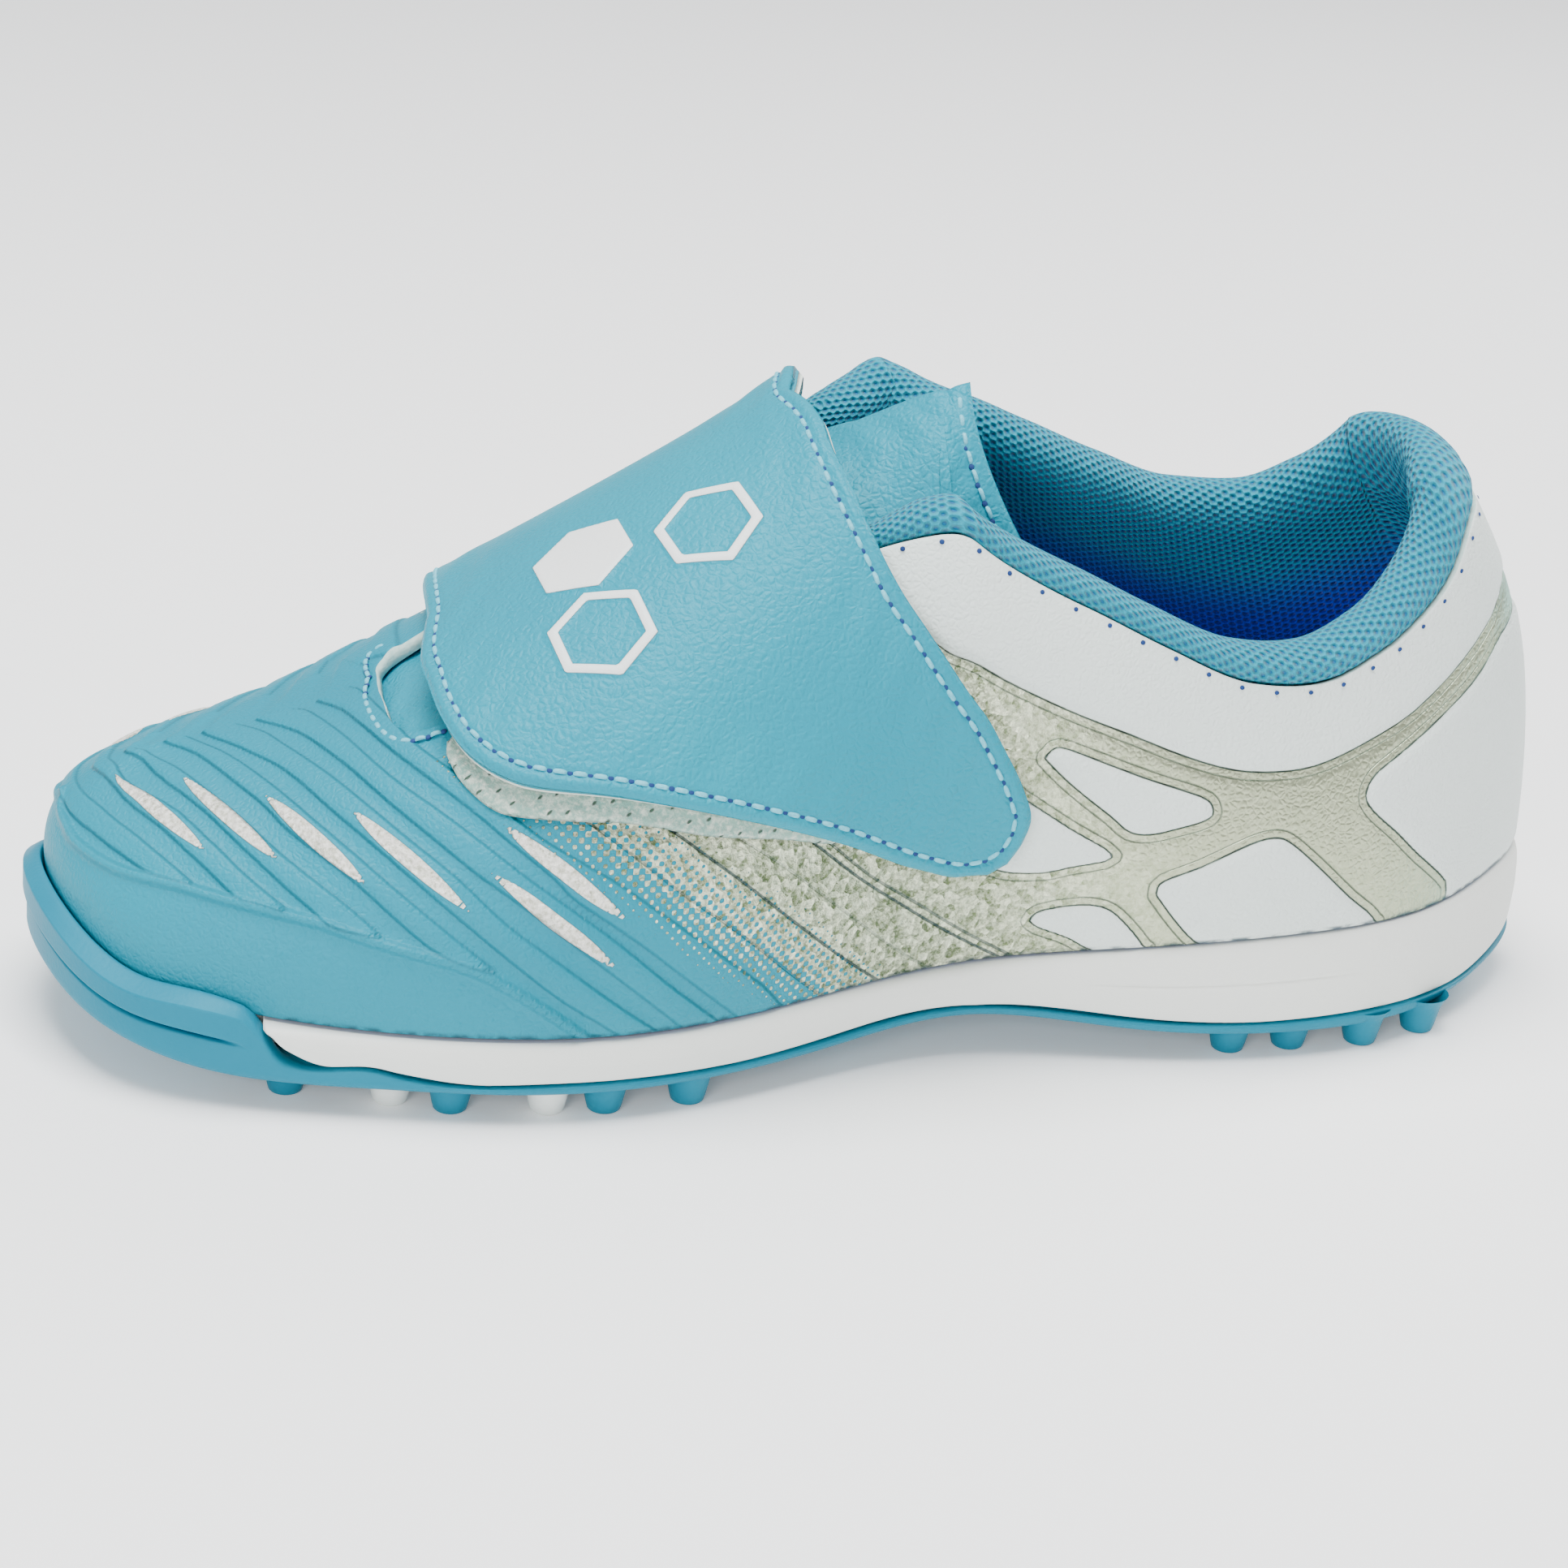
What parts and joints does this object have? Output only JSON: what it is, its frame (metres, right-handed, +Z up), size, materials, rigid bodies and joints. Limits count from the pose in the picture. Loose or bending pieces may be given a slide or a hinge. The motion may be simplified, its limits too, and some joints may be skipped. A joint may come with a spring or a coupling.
{
  "type": "turf shoe",
  "caption": "Child's left turf shoe: hollow coated upper with padded collar, tongue and one wide hook-and-loop strap on a foam midsole and a studded rubber outsole that wraps the toe.",
  "frame": {"origin": "middle of the shoe's length and width, on the floor plane under the stud tips", "axes": "+X from the heel towards the toe, +Y towards the outer (lateral) side of the foot, +Z up"},
  "size_m": [0.2066, 0.0788, 0.0856],
  "materials": {
    "blue_rubber": "matte moulded turquoise rubber",
    "white_foam": "matte moulded white foam",
    "coated_upper": "satin coated synthetic leather in turquoise, silver at the quarter",
    "lining_mesh": "padded blue spacer mesh",
    "strap_synthetic": "satin stitched synthetic leather in turquoise",
    "loop_fabric": "pale loop fabric",
    "insole_fabric": "blue woven cover"
  },
  "bodies": {
    "root": {"outsole": "blue_rubber", "midsole": "white_foam", "insole": "insole_fabric", "upper": "coated_upper", "tongue": "lining_mesh", "collar": "lining_mesh", "strap": "strap_synthetic", "loop_patch": "loop_fabric"}
  },
  "joints": []
}
